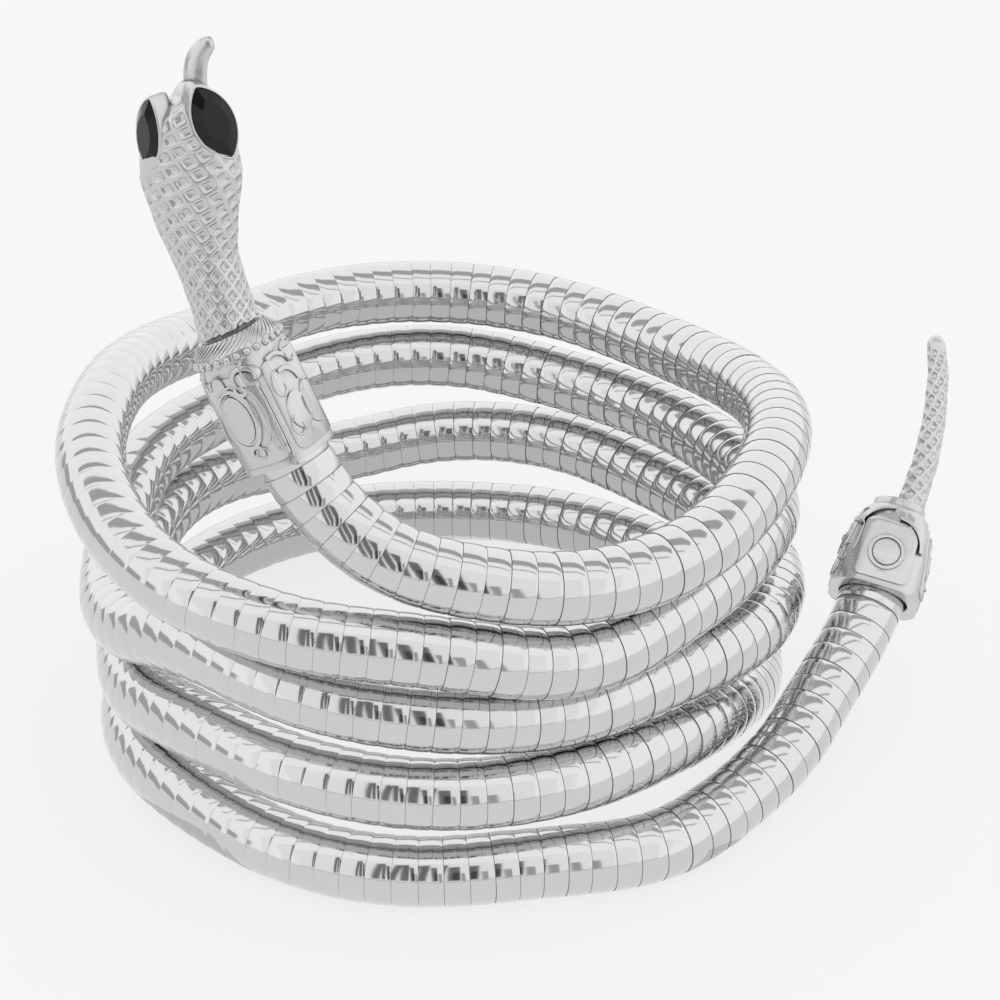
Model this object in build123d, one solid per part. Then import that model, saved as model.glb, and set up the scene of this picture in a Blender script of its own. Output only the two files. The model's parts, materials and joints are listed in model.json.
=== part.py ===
from build123d import *
import os
from math import atan2, cos, hypot, pi, radians, sin, tan

os.makedirs("parts", exist_ok=True)

# The coil stands on the floor with its middle at the origin, and its front faces -Y.

# Tube of the body
TUBE_DIAMETER = 6.4
COIL_RADIUS = 33.0
STRAND_GAP = 0.6
BEND_SHARE = 0.45

# Fits between the pieces
TUBE_CLEARANCE = 0.1
SPIGOT_CLEARANCE = 0.08
STONE_CLEARANCE = 0.05
SEAT_GAP = 0.22

# Ferrule at the head end
HEAD_COLLAR_LENGTH = 12.0
HEAD_COLLAR_WIDTH = 7.5
HEAD_COLLAR_GRIP = 3.4
HEAD_COLLAR_FACING = (-0.46, -0.89, -0.02)

# Ferrule at the tail end
TAIL_COLLAR_LENGTH = 10.2
TAIL_COLLAR_WIDTH = 8.6
TAIL_COLLAR_GRIP = 2.9
TAIL_COLLAR_FACING = (-0.03, -0.64, 0.77)
MOUTH_ROOM = 0.25
MOUTH_DEPTH = 1.6

# Relief on both ferrules
PANEL_RELIEF = 0.16
RELIEF = 0.34
PANEL_CORNER = 0.7
SCROLL_WALL = 0.35
BEAD_DIAMETER = 0.72
BEADS = 26
BEADS_ALONG = 0.865
BEADS_REACH = 1.04

# Head casting
HEAD_LENGTH = 20.7
HEAD_WIDTH = 8.4
HEAD_DEPTH = 5.6
HEAD_AIM = (-0.107, 0.215, 0.971)
HEAD_FACING = (-0.2, -0.96, 0.19)
HEAD_COLUMNS = 15
HEAD_CLIMB = 7
HEAD_ROWS = 17
HEAD_PIT = 0.24
NET_SLOPE = 0.24
SPIGOT_DIAMETER = 4.4
SPIGOT_LENGTH = 3.0
SPIGOT_ROOT = 0.4

# Stones of the eyes and their settings
EYE_LENGTH = 6.7
EYE_WIDTH = 3.6
EYE_DEPTH = 1.1
EYE_CROWN = 0.4
BEZEL_WALL = 0.4
BEZEL_HEIGHT = 0.4
BEZEL_ROOT = 1.7
EYE_SINK = 0.15
EYE_GIRDLE = 0.12
EYE_SIDES = 6
TABLE_SHARE = 0.62
CULET_SHARE = 0.4
EYE_ALONG_LEFT = 0.842
EYE_ALONG_RIGHT = 0.876
EYE_ACROSS = 0.33
EYE_RISE = 0.33
EYE_TILT = 43.0
EYE_SPLAY = 21.0

# Tongue
TONGUE_WIDTH = 2.1
TONGUE_THICKNESS = 1.0
TONGUE_LENGTH = 5.7
TONGUE_ROOT = 1.4

# Tail casting
TAIL_LENGTH = 18.4
TAIL_DIAMETER = 2.9
TAIL_AIM = (0.176, 0.684, 0.708)
TAIL_FACING = (-0.19, -0.69, 0.70)
TAIL_COLUMNS = 7
TAIL_CLIMB = 4
TAIL_ROWS = 17
TAIL_PIT = 0.2
TAIL_SHIFT = 1.0
TAIL_SPIGOT = 2.0
TAIL_RING_DIAMETER = 5.3
TAIL_RING_HEIGHT = 0.8

# Route of the body: shares of the coil radius, and of the step between strands above the lowest one
COMPASS = (
    "S", "SSE", "SE", "ESE", "E", "ENE", "NE", "NNE",
    "N", "NNW", "NW", "WNW", "W", "WSW", "SW", "SSW",
)
TURN_REACH = [
    (0.97, 1.01, 1.01, 0.99, 1.00, 0.99, 0.99, 1.01, 1.01, 0.99, 0.95, 0.93, 0.95, 1.05, 1.10, 1.06),
    (1.01, 1.02, 0.96, 0.96, 0.98, 0.98, 0.99, 0.99, 1.00, 0.99, 0.98, 1.00, 0.96, 1.00, 0.95, 0.98),
    (0.97, 0.95, 0.94, 0.99, 1.01, 1.00, 0.99, 1.00, 1.00, 0.98, 1.01, 0.99, 0.92, 0.97, 0.96, 0.99),
    (1.01, 0.99, 0.94, 0.92, 0.96, 0.98, 1.00, 1.00, 0.99, 1.00, 1.00, 0.97, 0.92, 0.97, 0.97, 1.00),
]
TURN_LIFT = [
    (4.48, 4.11, 4.07, 4.23, 4.18, 3.82, 3.60, 3.71, 3.84, 3.93, 3.93, 4.32, 4.66, 4.50, 4.01, 3.67),
    (3.50, 3.01, 3.16, 3.14, 2.87, 2.54, 2.46, 2.55, 2.79, 2.79, 2.61, 2.57, 2.06, 1.97, 2.67, 2.54),
    (2.34, 2.11, 2.12, 1.85, 1.61, 1.37, 1.28, 1.47, 1.45, 1.19, 1.48, 1.50, 1.10, 0.91, 1.35, 1.31),
    (1.23, 1.18, 1.03, 0.58, 0.00, 0.00, 0.05, 0.03, 0.00, 0.05, 0.08, 0.07, 0.00, 0.00, 0.12, 0.02),
]
# Columns: across, deep, lift
NECK_ROUTE = [
    (-0.409, -0.824, 6.29),
    (-0.336, -0.864, 5.56),
    (-0.191, -0.939, 4.86),
]
TAIL_ROUTE = [
    (-0.055, -1.027, 0.00),
    (0.285, -0.979, 0.03),
    (0.609, -0.921, 0.00),
    (0.806, -0.752, 0.01),
    (1.018, -0.527, 0.27),
    (1.136, -0.315, 0.59),
    (1.239, -0.161, 0.94),
    (1.309, -0.039, 1.30),
    (1.341, 0.036, 1.60),
]

# Columns: along, side, corner (shares of the ferrule's length, of its width and of that section's side)
HEAD_COLLAR_SECTIONS = [
    (0.00, 1.02, 0.39),
    (0.05, 1.00, 0.39),
    (0.77, 1.00, 0.39),
    (0.82, 1.04, 0.49),
    (0.90, 1.05, 0.49),
    (1.00, 0.80, 0.49),
]
TAIL_COLLAR_SECTIONS = [
    (0.00, 1.05, 0.32),
    (0.08, 1.04, 0.32),
    (0.36, 1.00, 0.32),
    (0.66, 0.91, 0.34),
    (0.85, 0.77, 0.38),
    (0.92, 0.64, 0.42),
]
# Columns: turn in degrees, along, width, height (shares of the ferrule's length, width and length)
HEAD_COLLAR_PANELS = [
    (0, 0.40, 0.76, 0.69),
    (180, 0.40, 0.76, 0.69),
    (90, 0.40, 0.66, 0.69),
    (-90, 0.40, 0.66, 0.69),
]
TAIL_COLLAR_PANELS = [
    (0, 0.38, 0.64, 0.64),
    (180, 0.38, 0.64, 0.64),
    (90, 0.38, 0.64, 0.64),
    (-90, 0.38, 0.64, 0.64),
]
# Columns: turn in degrees, along, across, width, height, frame wall
# (along is a share of the ferrule's length, the rest are shares of its width,
# and a solid oval has no frame wall)
HEAD_COLLAR_OVALS = [
    (0, 0.43, 0.00, 0.52, 0.76, 0.05),
    (0, 0.43, 0.00, 0.36, 0.58, 0.0),
    (0, 0.70, -0.06, 0.17, 0.21, 0.0),
    (180, 0.43, 0.00, 0.50, 0.72, 0.05),
    (180, 0.43, 0.00, 0.35, 0.56, 0.0),
    (-90, 0.32, -0.12, 0.33, 0.46, 0.0),
    (90, 0.32, 0.12, 0.33, 0.46, 0.0),
]
TAIL_COLLAR_OVALS = [
    (0, 0.35, 0.00, 0.42, 0.44, 0.04),
    (0, 0.35, 0.00, 0.31, 0.33, 0.0),
    (180, 0.35, 0.00, 0.42, 0.44, 0.04),
    (180, 0.35, 0.00, 0.31, 0.33, 0.0),
    (90, 0.18, 0.00, 0.16, 0.16, 0.0),
    (-90, 0.18, 0.00, 0.16, 0.16, 0.0),
]
# Columns: turn in degrees, along, across, radius, start in degrees, span in degrees
# (along is a share of the ferrule's length, across and radius are shares of its width)
HEAD_COLLAR_SCROLLS = [
    (0, 0.70, 0.29, 0.13, -20, 230),
    (0, 0.64, 0.21, 0.07, 150, 200),
    (0, 0.16, 0.04, 0.08, -40, 230),
    (-90, 0.50, -0.12, 0.22, 5, 100),
    (-90, 0.60, -0.16, 0.26, 20, 90),
    (90, 0.50, 0.12, 0.22, 75, 100),
    (90, 0.60, 0.16, 0.26, 70, 90),
]
TAIL_COLLAR_SCROLLS = [
    (0, 0.45, 0.02, 0.36, 0, 85),
    (0, 0.52, 0.00, 0.40, 95, 70),
    (90, 0.44, 0.03, 0.15, -60, 240),
    (90, 0.36, -0.10, 0.12, 90, 220),
    (-90, 0.44, -0.03, 0.15, 0, 240),
    (-90, 0.36, 0.10, 0.12, -130, 220),
    (180, 0.45, 0.00, 0.36, 0, 85),
]

# Columns: along, bow, lean, half width, back, belly
# (shares of the head's length, of its lean at the root, and of its width and depth)
HEAD_SECTIONS = [
    (0.00, 0.000, 1.00, 0.320, 0.480, 0.480),
    (0.13, 0.018, 0.85, 0.318, 0.470, 0.470),
    (0.29, 0.051, 0.55, 0.330, 0.460, 0.450),
    (0.45, 0.070, 0.10, 0.425, 0.480, 0.440),
    (0.56, 0.070, 0.00, 0.490, 0.510, 0.440),
    (0.65, 0.067, 0.00, 0.540, 0.530, 0.440),
    (0.79, 0.063, 0.00, 0.500, 0.560, 0.430),
    (0.90, 0.044, 0.00, 0.430, 0.530, 0.380),
    (0.96, 0.027, 0.00, 0.290, 0.410, 0.300),
    (1.00, 0.009, 0.00, 0.150, 0.210, 0.160),
]
# Columns: along, bow, lean, half width, back, belly
# (shares of the tail's length, of its lean at the root, and of its diameter)
TAIL_SECTIONS = [
    (0.00, 0.000, 1.00, 0.50, 0.50, 0.50),
    (0.27, -0.046, 0.50, 0.46, 0.46, 0.46),
    (0.52, -0.062, 0.00, 0.41, 0.41, 0.41),
    (0.78, -0.047, -0.60, 0.37, 0.37, 0.37),
    (0.96, -0.010, -1.00, 0.33, 0.33, 0.33),
    (1.00, 0.000, -1.00, 0.20, 0.20, 0.20),
]
# Nets of the castings: share along where the net starts and ends,
# then (along, size) of the rings that close each end
HEAD_NET = (0.045, 0.93, [[(0.0, 1.0)], [(0.97, 1.0), (1.0, 1.0)]])
TAIL_NET = (0.06, 0.90, [[(0.0, 1.0)], [(0.985, 1.0), (1.0, 1.0)]])
# Columns: along, bow, lean in degrees, width, thickness
# (shares of the tongue's length, width and thickness)
TONGUE_SECTIONS = [
    (0.00, 0.00, 0.0, 1.00, 1.00),
    (0.40, 0.01, 4.0, 1.00, 1.00),
    (0.62, 0.06, 22.0, 1.00, 1.00),
    (0.78, 0.15, 42.0, 0.90, 1.00),
    (0.88, 0.27, 62.0, 0.75, 0.90),
    (0.92, 0.38, 80.0, 0.50, 0.70),
]

STRAND_STEP = TUBE_DIAMETER + STRAND_GAP


def between(table, along):
    """Row of a table of sections at a share of the length, in a straight line from one row to the next."""
    for before, after in zip(table, table[1:]):
        if along <= after[0] or after is table[-1]:
            share = (along - before[0]) / (after[0] - before[0])
            return [a + (b - a) * share for a, b in zip(before, after)]


def lifted(lift):
    """Height of the tube's middle at so many steps above the lowest strand."""
    return TUBE_DIAMETER / 2 + lift * STRAND_STEP


def route_points():
    """Corners of the body's route, from the head's ferrule to the tail's."""
    corner_radius = COIL_RADIUS / cos(pi / len(COMPASS))
    neck = [Vector(a * COIL_RADIUS, d * COIL_RADIUS, lifted(l)) for a, d, l in NECK_ROUTE]
    tail = [Vector(a * COIL_RADIUS, d * COIL_RADIUS, lifted(l)) for a, d, l in TAIL_ROUTE]
    coil = []
    for reaches, lifts in zip(TURN_REACH, TURN_LIFT):
        for step, (reach, lift) in enumerate(zip(reaches, lifts)):
            turn = 2 * pi * step / len(COMPASS)
            radius = corner_radius * reach
            coil.append(Vector(radius * sin(turn), -radius * cos(turn), lifted(lift)))
    return neck + coil + tail


def bend_radii(points):
    """Radius of the bend at each corner, from its shorter run and its turn."""
    radii = []
    for before, here, after in zip(points, points[1:], points[2:]):
        first, second = here - before, after - here
        half_turn = radians(first.get_angle(second)) / 2
        radii.append(BEND_SHARE * min(first.length, second.length) / tan(half_turn))
    return radii


def frame_at(origin, axis, facing):
    """Plane across an axis, whose own Y direction faces the given way."""
    along = Vector(axis).normalized()
    side = Vector(facing).cross(along).normalized()
    return Plane(origin=origin, x_dir=side, z_dir=along)


def tube(points):
    """Body with a bend at each corner of its route, solid as a cord is."""
    radii = bend_radii(points)
    print("bend radii", " ".join(f"{radius:.1f}" for radius in radii))
    path = FilletPolyline(*points, radius=radii)
    start = Plane(origin=path @ 0, z_dir=path % 0)
    body = sweep(start * Circle(TUBE_DIAMETER / 2), path=path)
    section = pi * TUBE_DIAMETER**2 / 4
    print(f"tube length {path.length:.1f}, volume {body.volume:.1f}, expected {section * path.length:.1f}")
    return body


def rounded_wall(sections, length, width, extra):
    """Outer form of a ferrule, its wall standing out by the extra."""
    faces = []
    for along, share, corner in sections:
        side = width * share + 2 * extra
        faces.append(Pos(0, 0, along * length) * RectangleRounded(side, side, corner * side))
    return loft(faces, ruled=True)


def outward(sketch, turn, along, reach):
    """Prism from a ferrule's axis out through its wall, at a turn round it and a height along it."""
    angle = radians(turn)
    place = Plane(origin=(0, 0, along), x_dir=(-cos(angle), sin(angle), 0), z_dir=(sin(angle), cos(angle), 0))
    return extrude(place * sketch, amount=reach)


def panel_prisms(panels, length, width):
    """Prisms of the panels, as tall and wide as the table says."""
    return [
        outward(RectangleRounded(wide * width, high * length, PANEL_CORNER), turn, along * length, width)
        for turn, along, wide, high in panels
    ]


def oval_prisms(ovals, length, width):
    """Prisms of the ovals, and of the frames round them."""
    prisms = []
    for turn, along, across, wide, high, wall in ovals:
        sketch = Ellipse(wide * width / 2, high * width / 2)
        if wall:
            sketch -= Ellipse((wide / 2 - wall) * width, (high / 2 - wall) * width)
        prisms.append(outward(Pos(across * width, 0) * sketch, turn, along * length, width))
    return prisms


def scroll_prisms(scrolls, length, width):
    """Prisms of the scrolls, each an arc of one thickness."""
    prisms = []
    for turn, along, across, radius, start, span in scrolls:
        outer = CenterArc((0, 0), radius * width + SCROLL_WALL / 2, start, span)
        inner = CenterArc((0, 0), radius * width - SCROLL_WALL / 2, start, span)
        outline = [outer, inner, Line(outer @ 0, inner @ 0), Line(outer @ 1, inner @ 1)]
        prisms.append(outward(Pos(across * width, 0) * make_face(outline), turn, along * length, width))
    return prisms


def bead_row(height, radius):
    """Ring of beads round a ferrule."""
    turns = [2 * pi * bead / BEADS for bead in range(BEADS)]
    return [Pos(radius * cos(turn), radius * sin(turn), height) * Sphere(BEAD_DIAMETER / 2) for turn in turns]


def ferrule(sections, length, width, panels, figures, grip, added, hole, hole_shift):
    """Cast ferrule along +Z with its mouth at the bottom, moved so that the tube ends at the origin."""
    plates = rounded_wall(sections, length, width, PANEL_RELIEF) & (Part() + panels)
    reliefs = rounded_wall(sections, length, width, RELIEF) & (Part() + figures)
    body = rounded_wall(sections, length, width, 0) + plates.solids() + reliefs.solids() + added
    bore = TUBE_DIAMETER / 2 + TUBE_CLEARANCE
    depth = grip + TUBE_CLEARANCE
    body -= Pos(0, 0, depth / 2) * Cylinder(bore, depth)
    body -= Pos(0, 0, MOUTH_DEPTH / 2) * Cone(bore + MOUTH_ROOM, bore, MOUTH_DEPTH)
    body -= Pos(hole_shift, 0, length / 2) * Cylinder(hole / 2 + SPIGOT_CLEARANCE, length + grip)
    return Pos(0, 0, -grip) * body


def lean_at_root(frame, root):
    """Angle by which a ferrule's axis leans to the side of the casting that it carries."""
    towards = root.z_dir
    return atan2(towards.dot(frame.x_dir), towards.dot(frame.z_dir))


def skin_point(frame, root, sections, length, width, depth, turn, along, sink):
    """Point of a casting's skin at a turn round it and a share along it, sunk into it by a depth."""
    _, bow, lean, half, back, belly = between(sections, along)
    across = half * width * sin(turn)
    rise = (back if cos(turn) > 0 else belly) * depth * cos(turn)
    inward = 1 - sink / hypot(across, rise)
    angle = lean * lean_at_root(frame, root)
    place = Vector(
        bow * length + across * inward * cos(angle),
        rise * inward,
        along * length - across * inward * sin(angle),
    )
    return frame.from_local_coords(place)


def triangle(corners):
    """Flat face through three corners."""
    return Face(Wire.make_polygon(corners, close=True))


def zipped(lower, upper):
    """Triangles between two closed rows of (turn, point), both in order of turn."""
    triangles = []
    low, high = 0, 0
    count_low, count_high = len(lower), len(upper)
    start = lower[0][0]

    def turn_of(row, index):
        lap, place = divmod(index, len(row))
        return row[place][0] + 2 * pi * lap - start

    while low < count_low or high < count_high:
        here, there = lower[low % count_low][1], upper[high % count_high][1]
        low_first = low < count_low and turn_of(lower, low + 1) <= turn_of(upper, high + 1)
        step_low = high >= count_high or low_first
        if step_low:
            triangles.append((here, lower[(low + 1) % count_low][1], there))
            low += 1
        else:
            triangles.append((here, upper[(high + 1) % count_high][1], there))
            high += 1
    return triangles


def scaled_casting(point, columns, climb, rows, pit, first, last, ends):
    """Closed casting whose skin is a net of ridges that climbs round it, with a square pit in each mesh.

    The point function gives the skin at (turn, along, sink). The net runs from the first to the last
    share along, and the rings of ends close it: (along, size) from each end of the net outwards.
    """
    slope = atan2(climb, columns)
    around = hypot(columns, climb)
    height = rows * cos(slope)

    def net(i, j, sink=0.0):
        x = i * cos(slope) - j * sin(slope)
        y = i * sin(slope) + j * cos(slope)
        return 2 * pi * x / around, point(2 * pi * x / around, first + (last - first) * y / height, sink)

    stair = [(0, 0)]
    while len(stair) < columns + climb:
        i, j = stair[-1]
        level = i * sin(slope) + j * cos(slope)
        stair.append((i, j - 1) if level >= cos(slope) / 2 else (i + 1, j))
    triangles = []
    for (i, j), (after, _) in zip(stair, stair[1:] + [(columns, -climb)]):
        if after == i:
            continue
        for row in range(rows):
            low, left = j + row, i
            outer = [(left, low), (left + 1, low), (left + 1, low + 1), (left, low + 1)]
            inner = [
                (left + NET_SLOPE, low + NET_SLOPE),
                (left + 1 - NET_SLOPE, low + NET_SLOPE),
                (left + 1 - NET_SLOPE, low + 1 - NET_SLOPE),
                (left + NET_SLOPE, low + 1 - NET_SLOPE),
            ]
            rim = [net(*corner)[1] for corner in outer]
            floor = [net(*corner, pit)[1] for corner in inner]
            for side in range(4):
                after_side = (side + 1) % 4
                triangles.append((rim[side], rim[after_side], floor[after_side]))
                triangles.append((rim[side], floor[after_side], floor[side]))
            triangles.append((floor[0], floor[1], floor[2]))
            triangles.append((floor[0], floor[2], floor[3]))
    count = columns + climb
    caps = []
    for rings, row in ((ends[0], 0), (ends[1], rows)):
        edge = [net(i, j + row) for i, j in stair]
        for along, size in rings:
            ring = []
            for step in range(count):
                turn = edge[0][0] + 2 * pi * step / count
                middle = point(turn, along, 0)
                opposite = point(turn + pi, along, 0)
                centre = (middle + opposite) / 2
                ring.append((turn, centre + (middle - centre) * size))
            band = zipped(edge, ring)
            triangles += band if row else [(a, c, b) for a, b, c in band]
            edge = ring
        caps.append([p for _, p in edge])
    return triangles, caps


def closed_solid(triangles, caps):
    """Solid bounded by triangles and by a flat many-sided cap at each end."""
    faces = [triangle(corners) for corners in triangles]
    faces += [Face(Wire.make_polygon(cap, close=True)) for cap in caps]
    solid = Solid(Shell(faces))
    return solid if solid.volume > 0 else Solid(Shell([-face for face in faces]))


def navette(length, width, sides):
    """Pointed oval with straight sides, tip to tip along X."""
    radius = (length**2 + width**2) / (4 * width)
    half_angle = atan2(length / 2, radius - width / 2)
    arc = [half_angle * (1 - 2 * step / sides) for step in range(sides)]
    upper = [(radius * sin(a), radius * cos(a) - radius + width / 2) for a in arc]
    lower = [(-x, -y) for x, y in upper]
    return make_face(Polyline(*upper, *lower, close=True))


def eye_plane(frame, hand, share):
    """Plane of a stone's girdle at a share along the head, its X along the stone.

    Hand is 1 on the frame's +X side and -1 on the other.
    """
    _, bow, _, _, _, _ = between(HEAD_SECTIONS, share)
    tilt, splay = radians(EYE_TILT), radians(EYE_SPLAY)
    place = Vector(
        bow * HEAD_LENGTH + hand * EYE_ACROSS * HEAD_WIDTH,
        EYE_RISE * HEAD_DEPTH,
        share * HEAD_LENGTH,
    )
    normal = Vector(hand * sin(tilt), cos(tilt), 0)
    inward = Vector(-hand * cos(tilt), sin(tilt), 0)
    along = inward * sin(splay) + Vector(0, 0, cos(splay))
    origin = frame.from_local_coords(place)
    towards = frame.from_local_coords(place + normal) - origin
    lengthwise = frame.from_local_coords(place + along) - origin
    return Plane(origin=origin, x_dir=lengthwise, z_dir=towards)


def setting(plane):
    """Block of a stone's setting, rooted in the head."""
    length = EYE_LENGTH + 2 * BEZEL_WALL * EYE_LENGTH / EYE_WIDTH
    outline = navette(length, EYE_WIDTH + 2 * BEZEL_WALL, EYE_SIDES)
    return extrude(plane.offset(-BEZEL_ROOT) * outline, amount=BEZEL_ROOT + BEZEL_HEIGHT)


def pocket(plane):
    """Room for a stone in its setting."""
    room = 2 * STONE_CLEARANCE
    outline = navette(EYE_LENGTH + room * EYE_LENGTH / EYE_WIDTH, EYE_WIDTH + room, EYE_SIDES)
    floor = BEZEL_HEIGHT - EYE_SINK - EYE_DEPTH - STONE_CLEARANCE
    return extrude(plane.offset(floor) * outline, amount=BEZEL_HEIGHT - floor + EYE_CROWN)


def stone(plane):
    """Cut stone with a table, a row of crown facets and a row of facets below its girdle."""
    girdle = BEZEL_HEIGHT - EYE_SINK
    levels = [
        (girdle + EYE_CROWN, TABLE_SHARE),
        (girdle, 1.0),
        (girdle - EYE_GIRDLE, 1.0),
        (girdle - EYE_DEPTH, CULET_SHARE),
    ]
    faces = [
        plane.offset(height) * navette(EYE_LENGTH * share, EYE_WIDTH * share, EYE_SIDES)
        for height, share in levels
    ]
    return loft(faces, ruled=True)


def tongue(frame):
    """Flat tongue that bends to one side."""
    faces = []
    for along, bow, lean, width, thickness in TONGUE_SECTIONS:
        angle = radians(lean)
        place = Vector(-bow * TONGUE_LENGTH, 0, HEAD_LENGTH - TONGUE_ROOT + along * TONGUE_LENGTH)
        origin = frame.from_local_coords(place)
        towards = frame.from_local_coords(place + Vector(-sin(angle), 0, cos(angle))) - origin
        side = frame.from_local_coords(place + Vector(cos(angle), 0, sin(angle))) - origin
        outline = Ellipse(width * TONGUE_WIDTH / 2, thickness * TONGUE_THICKNESS / 2)
        faces.append(Plane(origin=origin, x_dir=side, z_dir=towards) * outline)
    return loft(faces)


points = route_points()
head_end = frame_at(points[0], points[0] - points[1], HEAD_COLLAR_FACING)
tail_end = frame_at(points[-1], points[-1] - points[-2], TAIL_COLLAR_FACING)

body_tube = tube(points)
export_step(body_tube, "parts/body_tube.step")

head_figures = oval_prisms(HEAD_COLLAR_OVALS, HEAD_COLLAR_LENGTH, HEAD_COLLAR_WIDTH)
head_figures += scroll_prisms(HEAD_COLLAR_SCROLLS, HEAD_COLLAR_LENGTH, HEAD_COLLAR_WIDTH)
head_collar = head_end * ferrule(
    HEAD_COLLAR_SECTIONS,
    HEAD_COLLAR_LENGTH,
    HEAD_COLLAR_WIDTH,
    panel_prisms(HEAD_COLLAR_PANELS, HEAD_COLLAR_LENGTH, HEAD_COLLAR_WIDTH),
    head_figures,
    HEAD_COLLAR_GRIP,
    bead_row(BEADS_ALONG * HEAD_COLLAR_LENGTH, BEADS_REACH * HEAD_COLLAR_WIDTH / 2),
    SPIGOT_DIAMETER,
    0,
)
export_step(head_collar, "parts/head_collar.step")

tail_figures = oval_prisms(TAIL_COLLAR_OVALS, TAIL_COLLAR_LENGTH, TAIL_COLLAR_WIDTH)
tail_figures += scroll_prisms(TAIL_COLLAR_SCROLLS, TAIL_COLLAR_LENGTH, TAIL_COLLAR_WIDTH)
ring_place = Pos(0, 0, TAIL_COLLAR_LENGTH - TAIL_RING_HEIGHT)
tail_ring = ring_place * Cylinder(TAIL_RING_DIAMETER / 2, 2 * TAIL_RING_HEIGHT)
tail_collar = tail_end * ferrule(
    TAIL_COLLAR_SECTIONS,
    TAIL_COLLAR_LENGTH,
    TAIL_COLLAR_WIDTH,
    panel_prisms(TAIL_COLLAR_PANELS, TAIL_COLLAR_LENGTH, TAIL_COLLAR_WIDTH),
    tail_figures,
    TAIL_COLLAR_GRIP,
    [tail_ring],
    TAIL_SPIGOT,
    -TAIL_SHIFT,
)
export_step(tail_collar, "parts/tail_collar.step")

head_base = HEAD_COLLAR_LENGTH - HEAD_COLLAR_GRIP
head_frame = frame_at(head_end.from_local_coords(Vector(0, 0, head_base + SEAT_GAP)), HEAD_AIM, HEAD_FACING)


def head_point(turn, along, sink):
    """Point of the head's skin, its net climbing to the viewer's right."""
    return skin_point(
        head_frame, head_end, HEAD_SECTIONS, HEAD_LENGTH, HEAD_WIDTH, HEAD_DEPTH, -turn, along, sink
    )


head = closed_solid(*scaled_casting(head_point, HEAD_COLUMNS, HEAD_CLIMB, HEAD_ROWS, HEAD_PIT, *HEAD_NET))
eye_planes = {
    "eye_left": eye_plane(head_frame, 1, EYE_ALONG_LEFT),
    "eye_right": eye_plane(head_frame, -1, EYE_ALONG_RIGHT),
}
head_spigot = Pos(0, 0, head_base - SPIGOT_LENGTH / 2 + SPIGOT_ROOT) * Cylinder(
    SPIGOT_DIAMETER / 2, SPIGOT_LENGTH + 2 * SPIGOT_ROOT
)
head = Part() + head + tongue(head_frame) + head_end * head_spigot
for plane in eye_planes.values():
    head += setting(plane)
for plane in eye_planes.values():
    head -= pocket(plane)
export_step(head, "parts/head.step")
for name, plane in eye_planes.items():
    export_step(stone(plane), f"parts/{name}.step")

tail_base = TAIL_COLLAR_LENGTH - TAIL_COLLAR_GRIP
tail_frame = frame_at(
    tail_end.from_local_coords(Vector(-TAIL_SHIFT, 0, tail_base + SEAT_GAP)), TAIL_AIM, TAIL_FACING
)


def tail_point(turn, along, sink):
    """Point of the tail's skin."""
    return skin_point(
        tail_frame, tail_end, TAIL_SECTIONS, TAIL_LENGTH, TAIL_DIAMETER, TAIL_DIAMETER, turn, along, sink
    )


tail = closed_solid(*scaled_casting(tail_point, TAIL_COLUMNS, TAIL_CLIMB, TAIL_ROWS, TAIL_PIT, *TAIL_NET))
tail_spigot = Pos(-TAIL_SHIFT, 0, tail_base - SPIGOT_LENGTH / 2 + SPIGOT_ROOT) * Cylinder(
    TAIL_SPIGOT / 2, SPIGOT_LENGTH + 2 * SPIGOT_ROOT
)
tail = Part() + tail + tail_end * tail_spigot
export_step(tail, "parts/tail.step")

castings = {"head_collar": head_collar, "tail_collar": tail_collar, "head": head, "tail": tail}
for name, piece in castings.items():
    print(name, f"volume {piece.volume:.1f}", "solids", len(piece.solids()), "valid", piece.is_valid)
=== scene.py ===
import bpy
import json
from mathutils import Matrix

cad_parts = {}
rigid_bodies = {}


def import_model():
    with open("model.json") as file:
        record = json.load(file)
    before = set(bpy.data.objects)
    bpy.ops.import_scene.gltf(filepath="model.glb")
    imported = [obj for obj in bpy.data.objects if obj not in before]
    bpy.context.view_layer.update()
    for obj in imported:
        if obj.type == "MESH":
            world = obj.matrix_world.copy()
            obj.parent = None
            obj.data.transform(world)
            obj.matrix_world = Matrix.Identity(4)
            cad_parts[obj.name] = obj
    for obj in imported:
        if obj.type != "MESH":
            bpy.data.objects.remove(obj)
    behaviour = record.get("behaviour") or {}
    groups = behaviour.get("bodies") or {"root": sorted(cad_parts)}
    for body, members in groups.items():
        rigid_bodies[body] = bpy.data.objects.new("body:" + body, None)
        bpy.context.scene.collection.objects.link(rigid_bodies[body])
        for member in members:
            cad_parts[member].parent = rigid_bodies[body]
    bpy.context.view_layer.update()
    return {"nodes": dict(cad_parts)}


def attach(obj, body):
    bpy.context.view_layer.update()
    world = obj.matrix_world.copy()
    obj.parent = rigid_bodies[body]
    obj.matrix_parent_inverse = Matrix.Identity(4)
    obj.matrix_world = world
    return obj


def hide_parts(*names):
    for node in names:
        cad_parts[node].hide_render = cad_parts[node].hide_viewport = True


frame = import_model()

import json
import logging
import math
import random
from dataclasses import dataclass
from enum import Enum

import bmesh
import bpy
from mathutils import Matrix, Vector
from mathutils.bvhtree import BVHTree

MM = 0.001
ROOT = "root"

log = logging.getLogger("bracelet")

Point = tuple[float, float, float]
Table = tuple[tuple[float, ...], ...]
Form = bmesh.types.BMesh
Corner = bmesh.types.BMVert
Edge = bmesh.types.BMEdge
Material = bpy.types.Material
Socket = bpy.types.NodeSocket
Body = bpy.types.Object


class Tone(Enum):
    """How bright a studio card is."""

    NIGHT = 0.05
    DARK = 0.19
    GREY = 0.45
    HAZE = 0.52
    SHADED = 0.7
    SOFT = 0.75
    TABLE = 0.95
    WALL = 1.12


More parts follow.
